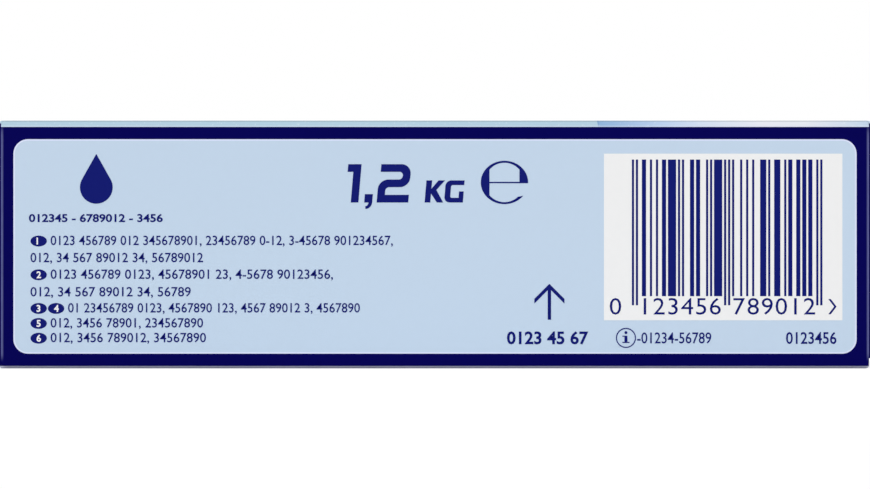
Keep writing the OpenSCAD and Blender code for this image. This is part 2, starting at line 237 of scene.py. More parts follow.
class PrintColours(bpy.types.PropertyGroup):
    """Colours of the print and of the bare board, with the painted shade and painted highlight of some
    folds and edges.
    """

    navy: colour("Border", (9, 7, 83), "Dark ink of the border and the side panels")
    # Lighter navy: the painted highlight along the outer flaps' cut sides, and specks of wear on the
    # side panels' folds.
    wear_and_painted_light: colour("Edge highlight and wear", (96, 99, 150), "Dark ink where a cut edge is rubbed")
    ink: colour("Marks", (22, 29, 110), "Ink of the marks and the bars")
    rim: colour("Panel rim", (222, 226, 252), "Line between the pale panel and the border")
    # Painted shade on the back panel's folds at both ends.
    rub_and_painted_light: colour("Painted fold shade", (184, 186, 209), "Folds of the back panel at both ends")
    ground: colour("Ground", (195, 213, 232), "Pale ground of the end panels and the back panel")
    white: colour("White field", (239, 239, 239), "Field behind the bar code")
    front: colour("Front", (180, 206, 222), "Front panel")
    front_light: colour("Front, far end", (205, 224, 236), "Front panel towards the top end")
    board: colour("Bare board", (176, 174, 168), "Cut edges of the board")
    field_line: colour("Field line", (104, 138, 184), "Line along the curved field's edge")
    fleck: colour("Flecks", (232, 238, 242), "Flecks on the front panel's folds")
    hinge: colour("Hinge", (120, 134, 140), "Shade on the outer flap's crease")


class Studio(bpy.types.PropertyGroup):
    """Camera, floor and light."""

    lens: FloatProperty(name="Lens", description="Focal length", default=900, unit="CAMERA")
    sensor: FloatProperty(name="Sensor", description="Sensor width", default=36, unit="CAMERA")
    trim: length("Trim", 0.17, "What the picture's edges cut off the carton's sides")
    floor: FloatProperty(name="Floor", description="Length of its side", default=60, unit="LENGTH")
    ambient: FloatProperty(name="Ambient", description="Strength of the even light", default=0.545)
    key: FloatProperty(name="Key light", description="Strength of the main lamp", default=1.24)
    fill: FloatProperty(name="Fill light", description="Strength of the second lamp", default=0.33)
    glow: FloatProperty(name="Glow", description="Strength of the floor's own light", default=1.15)
    glow_share: FloatProperty(
        name="Glow share", description="Share of its own light in the floor that the eye sees",
        default=0.6, min=0, max=1, subtype="FACTOR"
    )
    near: FloatProperty(name="Near", description="Nearest that is drawn", default=0.05, unit="LENGTH")
    far: FloatProperty(name="Far", description="Farthest that is drawn", default=40, unit="LENGTH")


# Shaders


class Value:
    """A number, colour or vector in a shader. Expressions on numbers add their Math nodes."""

    def __init__(self, shader, socket):
        self.shader = shader
        self.socket = socket

    def __add__(self, other):
        return self.shader.maths("ADD", self, other)

    __radd__ = __add__

    def __sub__(self, other):
        return self.shader.maths("SUBTRACT", self, other)

    def __rsub__(self, other):
        return self.shader.maths("SUBTRACT", other, self)

    def __mul__(self, other):
        return self.shader.maths("MULTIPLY", self, other)

    __rmul__ = __mul__

    def __truediv__(self, other):
        return self.shader.maths("DIVIDE", self, other)

    def __rtruediv__(self, other):
        return self.shader.maths("DIVIDE", other, self)


class Shader:
    """The nodes of a material or a world, from calls and from expressions on values."""

    def __init__(self, owner):
        self.owner = owner
        owner.use_nodes = True
        self.tree = owner.node_tree
        self.tree.nodes.clear()

    def node(self, kind, settings=None, sockets=None, output=0):
        """Adds a node with its settings first and then its sockets, and returns one output."""
        node = self.tree.nodes.new(kind)
        for key, setting in (settings or {}).items():
            if key == "stops":
                self.set_stops(node.color_ramp, setting)
            else:
                setattr(node, key, setting)
        for key, value in (sockets or {}).items():
            if isinstance(value, Value):
                self.tree.links.new(value.socket, node.inputs[key])
            else:
                node.inputs[key].default_value = value
        return Value(self, node.outputs[output]) if node.outputs else None

    @staticmethod
    def set_stops(ramp, stops):
        """Gives a colour ramp its stops, each a position and a colour."""
        while len(ramp.elements) < len(stops):
            ramp.elements.new(1)
        for element, (position, shade) in zip(ramp.elements, stops):
            element.position = position
            element.color = (*shade, 1)

    def maths(self, operation, first, second=0.0):
        return self.node("ShaderNodeMath", {"operation": operation}, {0: first, 1: second})

    def smooth(self, value, start, end):
        """0 up to start, 1 from end on, and a smooth step between them."""
        return self.node(
            "ShaderNodeMapRange", {"interpolation_type": "SMOOTHSTEP"},
            {"Value": value, "From Min": start, "From Max": end}
        )

    def position(self):
        return self.node("ShaderNodeTexCoord", output="Object")

    def noise(self, size, detail=2, stretch=(1, 1, 1)):
        """Noise with grains of a size in metres, longer where stretch is above 1."""
        scaled = self.node(
            "ShaderNodeMapping", None,
            {"Vector": self.position(), "Scale": [1 / factor for factor in stretch]}
        )
        return self.node(
            "ShaderNodeTexNoise", None, {"Vector": scaled, "Scale": 1 / size, "Detail": detail}
        )

    def axes(self):
        """The three coordinates of the point."""
        split = self.node("ShaderNodeSeparateXYZ", None, {0: self.position()})
        return [Value(self, output) for output in split.socket.node.outputs]

    def seen(self):
        """1 where the eye sees the surface, also by reflection or through glass, else 0."""
        rays = self.node("ShaderNodeLightPath").socket.node.outputs
        camera, glossy, through = (
            Value(self, rays[f"Is {kind} Ray"]) for kind in ("Camera", "Glossy", "Transmission")
        )
        return self.maths("MINIMUM", camera + glossy + through, 1)

    def mix(self, factor, first, second):
        """A colour between two others."""
        colours = {
            key: shade if isinstance(shade, Value) else (*shade, 1)
            for key, shade in ((6, first), (7, second))
        }
        return self.node("ShaderNodeMix", {"data_type": "RGBA"}, {0: factor, **colours}, 2)

    def finish(self, surface, kind="Material"):
        self.node("ShaderNodeOutput" + kind, None, {"Surface": surface})
        return self.owner


def material_shader(name):
    """The nodes of a new material."""
    return Shader(bpy.data.materials.new(name))


def darker(shade, share):
    """A plain colour with a share of its light taken off."""
    return tuple(channel * (1 - share) for channel in shade[:3])


def printed_surface(shader, shade, varnish=0.0):
    """Coated board under ink: fine fibres, a slow unevenness of the sheet and a satin varnish."""
    fibres = shader.noise(mm(0.35), 3, (1, 3, 1))
    sheet = shader.noise(mm(14), 2)
    relief = fibres * mm(0.0012) + sheet * mm(0.05)
    normal = shader.node("ShaderNodeBump", None, {"Height": relief, "Distance": 1.0})
    return shader.node("ShaderNodeBsdfPrincipled", None, {
        "Base Color": shade,
        "Roughness": 0.42 + (fibres - 0.5) * 0.12,
        "Specular IOR Level": 0.0,
        "Coat Weight": varnish,
        "Coat Roughness": 0.32,
        "Normal": normal,
    })


def varnish_on_panels(shader):
    """Strength of the varnish: it covers the long panels and leaves the glued ends bare."""
    along = shader.maths("ABSOLUTE", shader.axes()[1])
    rub_and_painted_light = shader.smooth(shader.noise(mm(9), 4), 0.35, 0.65)
    return shader.smooth(along, LENGTH / 2 - mm(1), LENGTH / 2 - mm(2.5)) * (0.2 + 0.015 * rub_and_painted_light)


def mottled(shader, shade):
    """An ink with slightly darker patches."""
    patches = shader.noise(mm(1.2), 4)
    return shader.mix((patches - 0.35) * 0.5, tuple(shade), darker(shade, 0.04))


def plain_print(name, shade):
    """One ink over its whole field."""
    shader = material_shader(name)
    return shader.finish(printed_surface(shader, mottled(shader, shade)))


def pale_print(colours, carton):
    """Pale ground, with painted shade on the back panel's folds at both ends."""
    shader = material_shader("pale_print")
    along = shader.maths("ABSOLUTE", shader.axes()[1])
    # Painted shade: a darker, greyer colour on the back panel's fold under each outer flap.
    fold = LENGTH / 2 - carton.board - carton.crease
    before_flap = shader.smooth(along, LENGTH / 2 - mm(0.3), LENGTH / 2 - mm(0.45))
    wear_and_painted_light = shader.smooth(along, fold - mm(0.2), fold + mm(0.15)) * before_flap
    shade = shader.mix(wear_and_painted_light, mottled(shader, colours.ground), tuple(colours.rub_and_painted_light))
    return shader.finish(printed_surface(shader, shade, varnish_on_panels(shader)))


def panel_print(colours, panel):
    """Pale ground of an end panel, with a lighter line where it meets the dark border."""
    shader = material_shader("panel_print")
    x, _, z = shader.axes()
    _, bottom, right, top = panel_box()
    reach_x = shader.maths("ABSOLUTE", x) - (right - panel.corner)
    reach_z = shader.maths("ABSOLUTE", z - (top + bottom) / 2) - ((top - bottom) / 2 - panel.corner)
    past_x = shader.maths("MAXIMUM", reach_x, 0)
    past_z = shader.maths("MAXIMUM", reach_z, 0)
    round_part = shader.maths("SQRT", past_x * past_x + past_z * past_z)
    straight = shader.maths("MINIMUM", shader.maths("MAXIMUM", reach_x, reach_z), 0)
    inwards = panel.corner - round_part - straight
    rim = 1 - shader.smooth(inwards, mm(0.15), mm(0.35))
    shade = shader.mix(rim * 0.8, mottled(shader, colours.ground), tuple(colours.rim))
    return shader.finish(printed_surface(shader, shade))


def navy_print(colours, carton):
    """Dark ink, with a painted highlight along the outer flaps' cut sides and specks of wear along the
    folds.
    """
    shader = material_shader("navy_print")
    x, y, z = shader.axes()
    across = shader.maths("ABSOLUTE", x)
    along = shader.maths("ABSOLUTE", y)
    # Painted highlight: a lighter line along each outer flap's cut side, standing in for the rounded
    # edge catching the side light; it fades out near the crease above and the free edge below.
    inwards = WIDTH / 2 - carton.side_gap - across
    off_cut = 0.75 + 0.25 * shader.smooth(inwards, 0, mm(0.1))
    cut_side = shader.smooth(inwards, mm(0.5), mm(0.12)) * off_cut
    at_end = shader.smooth(along, LENGTH / 2 - mm(0.3), LENGTH / 2 - mm(0.1))
    upper = shader.smooth(z, THICKNESS - mm(0.4), THICKNESS - mm(2.6))
    lower = shader.smooth(z, mm(1), mm(2.6))
    specks = shader.noise(mm(0.5), 4, (1, 1, 6))
    rub_and_painted_light = cut_side * at_end * upper * lower * (0.7 + 0.5 * specks)
    long_fold = shader.smooth(across, WIDTH / 2 - mm(0.25), WIDTH / 2 - mm(0.02))
    high_fold = shader.smooth(z, THICKNESS - mm(1.3), THICKNESS - mm(0.5))
    low_fold = 1 - shader.smooth(z, mm(0.5), mm(1.0))
    flecks = shader.smooth(shader.noise(mm(0.45), 5, (1, 5, 1)), 0.56, 0.66)
    side_panel = 1 - at_end
    worn_folds = long_fold * shader.maths("MAXIMUM", high_fold, low_fold) * flecks * side_panel * 0.55
    wear = shader.maths("MAXIMUM", rub_and_painted_light, worn_folds)
    # The same lighter ink serves the painted highlight on the cut sides and the specks of wear on the
    # folds.
    shade = shader.mix(wear, mottled(shader, colours.navy), tuple(colours.wear_and_painted_light))
    return shader.finish(printed_surface(shader, shade, varnish_on_panels(shader)))


def front_print(colours, front, panel):
    """Ice blue with a large curved field, whose colours run from sky blue to near white and back."""
    shader = material_shader("front_print")
    x, y, z = shader.axes()
    # The print runs on over the bottom crease, so what lies under the crease counts as further out
    outwards = y + z - THICKNESS
    centre_x = front.foot + front.radius * math.cos(front.lean)
    centre_y = LOW.y + front.radius * math.sin(front.lean)
    offset_x = x - centre_x
    offset_y = outwards - centre_y
    reach = shader.maths("SQRT", offset_x * offset_x + offset_y * offset_y)
    inside = front.radius - reach
    field = shader.node(
        "ShaderNodeValToRGB", {"stops": [(at, srgb(*shade)) for at, shade in FIELD_STOPS]},
        {"Fac": inside / front.fade}
    )
    ground = shader.mix(
        shader.smooth(y, LOW.y, HIGH.y), tuple(colours.front), tuple(colours.front_light)
    )
    past_line = shader.smooth(inside, mm(0.1), mm(0.35))
    edge_line = shader.smooth(inside, mm(-0.05), mm(0.05)) * (1 - past_line)
    shade = shader.mix(shader.smooth(inside, mm(-0.08), mm(0.08)), ground, field)
    shade = shader.mix(edge_line * 0.35, shade, tuple(colours.field_line))
    flecks = shader.smooth(shader.noise(mm(0.4), 5), 0.6, 0.7)
    across = shader.maths("ABSOLUTE", x)
    along = shader.maths("ABSOLUTE", y)
    near_fold = shader.maths(
        "MAXIMUM", shader.smooth(across, WIDTH / 2 - mm(0.45), WIDTH / 2 - mm(0.2)),
        shader.smooth(along, LENGTH / 2 - mm(0.45), LENGTH / 2 - mm(0.2))
    )
    shade = shader.mix(near_fold * flecks * 0.25, shade, tuple(colours.fleck))
    # Painted shade on the outer flap's rounded crease: its colour is darkened towards the hinge colour.
    on_end = shader.smooth(along, LENGTH / 2 - mm(0.6), LENGTH / 2 - mm(0.4))
    hinge = on_end * shader.smooth(z, THICKNESS - mm(0.3), THICKNESS - mm(0.1))
    shade = shader.mix(hinge * 0.35, shade, tuple(colours.hinge))
    foot = THICKNESS - panel.front_wrap
    edge = on_end * (1 - shader.smooth(z, foot + mm(0.12), foot + mm(0.3)))
    shade = shader.mix(edge * 0.35, shade, tuple(colours.rim))
    return shader.finish(printed_surface(shader, shade, varnish_on_panels(shader)))


def bare_board(colours):
    """Grey-white board where it is cut: layers of fibre along the cut."""
    shader = material_shader("bare_board")
    layers = shader.noise(mm(0.09), 3, (4, 1, 4))
    shade = shader.mix(layers, tuple(colours.board), darker(colours.board, 0.35))
    normal = shader.node("ShaderNodeBump", None, {"Height": layers * mm(0.03), "Distance": 1.0})
    return shader.finish(shader.node("ShaderNodeBsdfPrincipled", None, {
        "Base Color": shade,
        "Roughness": 0.85 + layers * 0.1,
        "Specular IOR Level": 0.1,
        "Normal": normal,
    }))


# Meshes


def settings():
    """The property groups with the sizes of the carton, of its end panels and of the marks."""
    scene = bpy.context.scene
    return scene.salt_carton, scene.salt_panel, scene.salt_marks


def add_piece(name, bm, materials):
    """Makes a finished bmesh a piece of the pack."""
    mesh = bpy.data.meshes.new(name)
    bm.to_mesh(mesh)
    bm.free()
    return add_mesh(name, mesh, materials)


def add_mesh(name, mesh, materials):
    """Makes a finished mesh a piece of the pack."""
    for finish in materials:
        mesh.materials.append(finish)
    piece = bpy.data.objects.new(name, mesh)
    bpy.context.scene.collection.objects.link(piece)
    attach(piece, BODY)
    return piece


def evaluated_mesh(obj):
    """The mesh of an object with its modifiers or its curve applied. The object is deleted."""
    depsgraph = bpy.context.evaluated_depsgraph_get()
    mesh = bpy.data.meshes.new_from_object(obj.evaluated_get(depsgraph))
    bpy.data.objects.remove(obj)
    return mesh


def box(bm, low, high):
    """Adds a box between two corners and returns its new vertices."""
    middle = (Vector(low) + Vector(high)) / 2
    size = Vector(high) - Vector(low)
    matrix = Matrix.Translation(middle) @ Matrix.Diagonal((*size, 1))
    return bmesh.ops.create_cube(bm, size=1, matrix=matrix)["verts"]


def bevel(bm, edges, offset, segments):
    """Rounds edges, with faces of the same material."""
    bmesh.ops.bevel(
        bm, geom=edges, offset=offset, segments=segments, profile=0.5, affect="EDGES",
        material=-1, clamp_overlap=True
    )


def edges_along(bm, axis, test):
    """The edges that run along an axis and whose middle passes a test."""
    found = []
    for edge in bm.edges:
        first, second = (vert.co for vert in edge.verts)
        direction = (second - first).normalized()
        if abs(direction[axis]) > 0.999 and test((first + second) / 2):
            found.append(edge)
    return found


def cut(bm, point, normal):
    """Cuts all faces along a plane."""
    bmesh.ops.bisect_plane(
        bm, geom=bm.verts[:] + bm.edges[:] + bm.faces[:], dist=MERGE,
        plane_co=point, plane_no=normal
    )


def end_matrix(level, across=0.0, up=0.0):
    """Stands a flat shape, drawn on X and Y, on the bottom end at a level of print."""
    carton = settings()[0]
    face = LOW.y + (INK_LEVEL - level) * carton.ink_step
    return Matrix.Translation((across, face, up)) @ Matrix.Rotation(math.pi / 2, 4, "X")


def panel_box():
    """Left, bottom, right and top of the pale panel on an end."""
    carton, panel, _ = settings()
    half = WIDTH / 2 - carton.side_gap - panel.border
    bottom = carton.end_gap + panel.foot_border
    return -half, bottom, half, THICKNESS - panel.front_wrap - panel.top_border


def from_corner(spot, level):
    """Matrix that places a shape by the pale panel's lower left corner, with its top at a level."""
    left, bottom, _, _ = panel_box()
    return end_matrix(level, left + spot[0], bottom + spot[1])


def flat_outline(loops, thickness):
    """Mesh of a flat shape with its face at height 0 and its back below. Inner loops are holes."""
    curve = bpy.data.curves.new("outline", "CURVE")
    curve.dimensions = "2D"
    curve.fill_mode = "BOTH"
    curve.extrude = thickness / 2
    for loop in loops:
        spline = curve.splines.new("POLY")
        spline.points.add(len(loop) - 1)
        for point, (x, y) in zip(spline.points, loop):
            point.co = (x, y, 0, 1)
        spline.use_cyclic_u = True
    shape = bpy.data.objects.new("outline", curve)
    bpy.context.scene.collection.objects.link(shape)
    mesh = evaluated_mesh(shape)
    mesh.transform(Matrix.Translation((0, 0, -thickness / 2)))
    return mesh


def join_meshes(parts):
    """One bmesh from meshes and the matrix of each. Split edges are closed, faces turned outwards."""
    bm = bmesh.new()
    for mesh, matrix in parts:
        mesh.transform(matrix)
        bm.from_mesh(mesh)
        bpy.data.meshes.remove(mesh)
    bmesh.ops.remove_doubles(bm, verts=bm.verts[:], dist=MERGE)
    bmesh.ops.recalc_face_normals(bm, faces=bm.faces[:])
    return bm


def arc(centre, radii, start, end, steps=24):
    """Points along an arc of an ellipse between two angles in degrees."""
    points = []
    for step in range(steps + 1):
        angle = math.radians(start + (end - start) * step / steps)
        points.append((
            centre[0] + radii[0] * math.cos(angle),
            centre[1] + radii[1] * math.sin(angle)
        ))
    return points


def circle(centre, radius, steps=48):
    """Points round a circle, none of them twice."""
    return arc(centre, (radius, radius), 0, 360 * (steps - 1) / steps, steps - 1)


# Carton


def core_solid(carton):
    """The four panels and the folds of both ends, with every crease rounded."""
    bm = bmesh.new()
    inset = carton.board + INK_LEVEL * carton.ink_step
    box(bm, (LOW.x, LOW.y + inset, LOW.z), (HIGH.x, HIGH.y - inset, HIGH.z))
    bevel(bm, bm.edges[:], carton.crease, 4)
    for height in (carton.seam_height, carton.seam_height + mm(0.03)):
        cut(bm, (0, 0, height), (0, 0, 1))
    right = HIGH.x - 1.5 * carton.crease
    for vert in bm.verts:
        if vert.co.x > right and vert.co.z < carton.seam_height + NEAR:
            vert.co.x -= carton.seam_step
    return bm


def flap_solid(carton):
    """The outer flap of the bottom end: a plate that hinges at the front crease."""
    bm = bmesh.new()
    outer = LOW.y + INK_LEVEL * carton.ink_step
    half = WIDTH / 2 - carton.side_gap
    box(bm, (-half, outer, carton.end_gap), (half, outer + carton.board + carton.tuck, HIGH.z))
    middle = THICKNESS / 2
    bevel(bm, edges_along(bm, 1, lambda p: p.z > middle), carton.crease, 4)
    bevel(bm, edges_along(bm, 1, lambda p: p.z < middle), carton.flap_corner, 6)

    def outer_edges(low, high):
        return [
            edge for edge in bm.edges
            if all(abs(v.co.y - outer) < NEAR and low < v.co.z < high for v in edge.verts)
        ]

    hinge = outer_edges(HIGH.z - carton.crease - NEAR, HIGH.z + NEAR)
    bevel(bm, hinge, carton.crease * 0.9, 4)
    bevel(bm, outer_edges(LOW.z, HIGH.z - 2 * carton.crease), carton.cut_round, 1)
    return bm


def united(first, others):
    """One closed mesh from solids that overlap."""
    def holder(bm):
        mesh = bpy.data.meshes.new("part")
        bmesh.ops.recalc_face_normals(bm, faces=bm.faces[:])
        bm.to_mesh(mesh)
        bm.free()
        obj = bpy.data.objects.new("part", mesh)
        bpy.context.scene.collection.objects.link(obj)
        return obj
    base = holder(first)
    helpers = [holder(bm) for bm in others]
    for helper in helpers:
        union = base.modifiers.new("union", "BOOLEAN")
        union.operation = "UNION"
        union.solver = "EXACT"
        union.object = helper
    mesh = evaluated_mesh(base)
    for helper in helpers:
        bpy.data.objects.remove(helper)
    return mesh


def pillow(u, v):
    """How far a bulged panel stands out at a point, from 0 at its edges to 1 in its middle."""
    return max(0, 1 - u * u) ** 2 * max(0, 1 - v * v) ** 2


def crown(bm, carton):
    """Bulges the front panel and the side panels as the salt does. The back panel stays flat."""
    for vert in bm.verts:
        x, y, z = vert.co
        u, v, w = 2 * x / WIDTH, 2 * y / LENGTH, 2 * z / THICKNESS - 1
        if z > HIGH.z - 2 * NEAR:
            vert.co.z += carton.front_crown * pillow(u, v)
        elif abs(x) > HIGH.x - 2 * NEAR:
            vert.co.x += math.copysign(carton.side_crown * pillow(v, w), x)


def board_field(face, carton, panel):
    """Number of the material that a face of the carton shows."""
    front, navy, pale, bare = range(4)
    centre = face.calc_center_median()
    folded_end = LENGTH / 2 - carton.board - INK_LEVEL * carton.ink_step
    on_flap = max(abs(vert.co.y) for vert in face.verts) > folded_end + 2 * NEAR
    is_cut = abs(face.normal.y) < 0.5
    if on_flap and is_cut and centre.z < HIGH.z - carton.crease:
        return bare
    if centre.z > HIGH.z - carton.crease * 0.9:
        return front
    if on_flap and centre.z > HIGH.z - panel.front_wrap:
        return front
    if not on_flap and centre.z < carton.end_gap:
        return pale
    return navy


class PACK_OT_carton(bpy.types.Operator):
    """Build the folded and glued carton"""

    bl_idname = "salt_pack.carton"
    bl_label = "Carton"
    bl_options = {"REGISTER", "UNDO"}

    def execute(self, context):
        carton, panel, _ = settings()
        colours = context.scene.salt_colours
        top_flap = flap_solid(carton)
        bmesh.ops.rotate(top_flap, verts=top_flap.verts[:], matrix=Matrix.Rotation(math.pi, 3, "Z"))
        mesh = united(core_solid(carton), [flap_solid(carton), top_flap])
        bm = bmesh.new()
        bm.from_mesh(mesh)
        bpy.data.meshes.remove(mesh)
        cells = carton.crown_cells
        for step in range(1, cells):
            share = step / cells - 0.5
            cut(bm, (share * WIDTH, 0, 0), (1, 0, 0))
            cut(bm, (0, share * LENGTH, 0), (0, 1, 0))
        for step in range(1, cells // 2):
            cut(bm, (0, 0, THICKNESS * step * 2 / cells), (0, 0, 1))
        for height in (carton.end_gap, HIGH.z - panel.front_wrap, HIGH.z - carton.crease * 0.9):
            cut(bm, (0, 0, height), (0, 0, 1))
        bmesh.ops.remove_doubles(bm, verts=bm.verts[:], dist=MERGE)
        crown(bm, carton)
        bm.normal_update()
        for face in bm.faces:
            face.smooth = True
            face.material_index = board_field(face, carton, panel)
        materials = [
            front_print(colours, context.scene.salt_front, panel),
            navy_print(colours, carton),
            pale_print(colours, carton),
            bare_board(colours),
        ]
        piece = add_piece("folded_carton", bm, materials)
        piece.data.set_sharp_from_angle(angle=math.radians(35))
        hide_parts(NODE)
        return {"FINISHED"}


# Print of the ends


def rounded_plate(left, bottom, right, top, radius, thickness):
    """Closed plate with rounded corners, its face at height 0."""
    bm = bmesh.new()
    box(bm, (left, bottom, -thickness), (right, top, 0))
    bevel(bm, edges_along(bm, 2, lambda p: True), radius, 12)
    return bm


class PACK_OT_panels(bpy.types.Operator):
    """Print the pale panel of both ends"""

    bl_idname = "salt_pack.panels"
    bl_label = "Pale panels"
    bl_options = {"REGISTER", "UNDO"}

    def execute(self, context):
        carton, panel, _ = settings()
        ground = panel_print(context.scene.salt_colours, panel)
        for name, turn in (("bottom_panel", 0), ("top_panel", math.pi)):
            bm = rounded_plate(*panel_box(), panel.corner, carton.ink_step + carton.ink_root)
            matrix = Matrix.Rotation(turn, 4, "Z") @ end_matrix(PALE_LEVEL)
            bmesh.ops.transform(bm, matrix=matrix, verts=bm.verts[:])
            add_piece(name, bm, [ground])
        return {"FINISHED"}


def field_place(across=0.0, up=0.0, level=INK_LEVEL):
    """Matrix that places a shape by the white field's lower left corner."""
    _, panel, _ = settings()
    _, _, right, top = panel_box()
    field_w = panel.quiet_left + bars_width(panel) + panel.quiet_right
    left = right - panel.field_right - field_w
    return end_matrix(level, left + across, top - panel.field_top - field_height(panel) + up)


def bars_width(panel):
    """Two halves of digits, two outer guards and the middle guard."""
    modules = 2 * (HALF_DIGITS * DIGIT_MODULES + GUARD_MODULES) + MIDDLE_MODULES
    return modules * panel.module


def field_height(panel):
    """Height of the bar code's white field."""
    return panel.quiet_top + panel.bar_height + panel.guard_drop + panel.quiet_bottom


def bar_runs():
    """Start, width and kind of each bar, in modules: guard bars are long and digit bars are not."""
    runs = []
    at = 0

    def add(widths, starts_dark, long):
        nonlocal at
        dark = starts_dark
        for width in widths:
            if dark:
                runs.append((at, width, long))
            at += width
            dark = not dark

    left_half, right_half = CODE_DIGITS[1:1 + HALF_DIGITS], CODE_DIGITS[1 + HALF_DIGITS:]
    add([1] * GUARD_MODULES, True, True)
    for digit in left_half:
        add([int(width) for width in DIGIT_WIDTHS[int(digit)]], False, False)
    add([1] * MIDDLE_MODULES, False, True)
    for digit in right_half:
        add([int(width) for width in DIGIT_WIDTHS[int(digit)]], True, False)
    add([1] * GUARD_MODULES, True, True)
    return runs


class PACK_OT_bar_code(bpy.types.Operator):
    """Print the white field, its bars and the plain digits under them"""

    bl_idname = "salt_pack.bar_code"
    bl_label = "Bar code"
    bl_options = {"REGISTER", "UNDO"}

    def execute(self, context):
        carton, panel, _ = settings()
        colours = context.scene.salt_colours
        width = panel.quiet_left + bars_width(panel) + panel.quiet_right
        root = carton.ink_root
        bm = bmesh.new()
        box(bm, (0, 0, -root), (width, field_height(panel), 0))
        bmesh.ops.transform(bm, matrix=field_place(level=FIELD_LEVEL), verts=bm.verts[:])
        add_piece("white_field", bm, [plain_print("white_print", colours.white)])

        ink = plain_print("mark_print", colours.ink)
        bm = bmesh.new()
        top = field_height(panel) - panel.quiet_top
        for start, run, long in bar_runs():
            left = panel.quiet_left + start * panel.module - panel.ink_spread
            right = panel.quiet_left + (start + run) * panel.module + panel.ink_spread
            foot = panel.quiet_bottom + (0 if long else panel.guard_drop)
            box(bm, (left, foot, -root), (right, top, 0))
        bmesh.ops.transform(bm, matrix=field_place(), verts=bm.verts[:])
        add_piece("code_bars", bm, [ink])

        split = 1 + HALF_DIGITS
        first_half = GUARD_MODULES + 1
        second_half = first_half + HALF_DIGITS * DIGIT_MODULES + MIDDLE_MODULES
        groups = (
            (CODE_DIGITS[:1], panel.first_digit),
            (CODE_DIGITS[1:split], panel.quiet_left + first_half * panel.module),
            (CODE_DIGITS[split:], panel.quiet_left + second_half * panel.module),
        )
        parts = []
        for digits, left in groups:
            for index, digit in enumerate(digits):
                mesh = digits_mesh(digit, panel.digit_height, -0.003, root)
                mesh.transform(Matrix.Diagonal((panel.digit_stretch, 1, 1, 1)))
                middle = left + index * panel.digit_pitch + panel.digit_width / 2
                wide = max(vert.co.x for vert in mesh.vertices)
                parts.append((mesh, field_place(middle - wide / 2, panel.digit_base)))
        width, height = panel.end_size
        stroke = panel.end_stroke
        chevron = [
            (0, 0), (stroke, 0), (width, height / 2), (stroke, height), (0, height),
            (width - stroke, height / 2)
        ]
        parts.append((flat_outline([chevron], root), field_place(*panel.end_mark)))
        add_piece("code_digits", join_meshes(parts), [ink])
        return {"FINISHED"}


def digits_mesh(digits, height, weight, thickness, reach=None):
    """Mesh of plain digits with their left foot at the origin, made as long as reach if it is given.

    The weight is what each stroke gains at either side, as a share of the digits' height.
    """
    text = bpy.data.curves.new("digits", "FONT")
    text.body = digits
    text.size = height / DIGIT_SHARE
    text.offset = weight * height
    text.extrude = thickness / 2
    text.resolution_u = 3
    shape = bpy.data.objects.new("digits", text)
    bpy.context.scene.collection.objects.link(shape)
    mesh = evaluated_mesh(shape)
    across = [vert.co.x for vert in mesh.vertices]
    left = min(across)
    stretch = reach / (max(across) - left) if reach else 1
    mesh.transform(Matrix.Diagonal((stretch, 1, 1, 1)) @ Matrix.Translation((-left, 0, -thickness / 2)))
    return mesh


# Net weight


def figure_one(marks):
    """A stem with a short flag at its top left."""
    stroke, height = marks.figure_stroke, marks.figure_height
    flag = 0.75 * stroke
    return [
        (flag, 0), (flag + stroke, 0), (flag + stroke, height), (0, height), (0, height - stroke),
        (flag, height - stroke)
    ]


def comma(marks):
    """A block with a tail that curls to the left."""
    stroke = marks.figure_stroke
    tail = arc((stroke / 4, 0), (stroke * 0.8, stroke * 0.85), 0, -90, 10)
    inside = arc((stroke / 6, 0), (stroke * 0.4, stroke / 2), -90, 0, 8)
    return [(0, 0), (0, 1.1 * stroke), (1.05 * stroke, 1.1 * stroke)] + tail + inside


def figure_two(marks):
    """A bend to the right over a bend to the left, with three level strokes."""
    stroke, height, width = marks.figure_stroke, marks.figure_height, marks.figure_width
    outer, inner = marks.figure_bend, marks.figure_inner
    top_of_middle = (height + stroke) / 2
    foot_of_middle = top_of_middle - stroke
    right, left = width - outer, stroke + inner
    far = width - stroke - inner
    start = 0.2 * stroke
    return (
        [(start, height)]
        + arc((right, height - outer), (outer, outer), 90, 0, 12)
        + arc((right, foot_of_middle + outer), (outer, outer), 0, -90, 12)
        + arc((left, foot_of_middle - inner), (inner, inner), 90, 180, 8)
        + [(stroke, stroke), (width, stroke), (width, 0), (0, 0)]
        + arc((outer, top_of_middle - outer), (outer, outer), 180, 90, 12)
        + arc((far, top_of_middle + inner), (inner, inner), -90, 0, 8)
        + arc((far, height - stroke - inner), (inner, inner), 0, 90, 8)
        + [(start, height - stroke)]
    )


def unit_widths(marks):
    """Widths of the unit's two letters."""
    return 0.84 * marks.unit_height, 0.85 * marks.unit_height


def letter_k(marks):
    """An upright stroke with an arm and a leg."""
    stem, height = marks.unit_stem, marks.unit_height
    width = unit_widths(marks)[0]
    tip = width - 1.13 * stem
    return [
        (0, 0), (stem, 0), (stem, 0.41 * height), (tip, 0), (width, 0),
        (0.58 * width, 0.57 * height), (width, height), (tip, height), (stem, 0.62 * height),
        (stem, height), (0, height)
    ]


def letter_g(marks):
    """An open square ring, round at its left, with a short stroke up from its foot."""
    stem, stroke, height = marks.unit_stem, marks.unit_stroke, marks.unit_height
    width = unit_widths(marks)[1]
    outer, inner = 0.25 * height, 0.08 * height
    left = stem + inner
    return (
        [(width, 0), (width, height / 2), (width - stroke, height / 2), (width - stroke, stroke)]
        + arc((left, stroke + inner), (inner, inner), 270, 180, 6)
        + arc((left, height - stroke - inner), (inner, inner), 180, 90, 6)
        + [(width, height - stroke), (width, height)]
        + arc((outer, height - outer), (outer, outer), 90, 180, 10)
        + arc((outer, outer), (outer, outer), 180, 270, 10)
    )


def slanted(loop, marks):
    """Leans an outline to the right about half the figures' height."""
    lean = math.tan(marks.slant)
    middle = marks.figure_height / 2
    return [(x + lean * (y - middle), y) for x, y in loop]


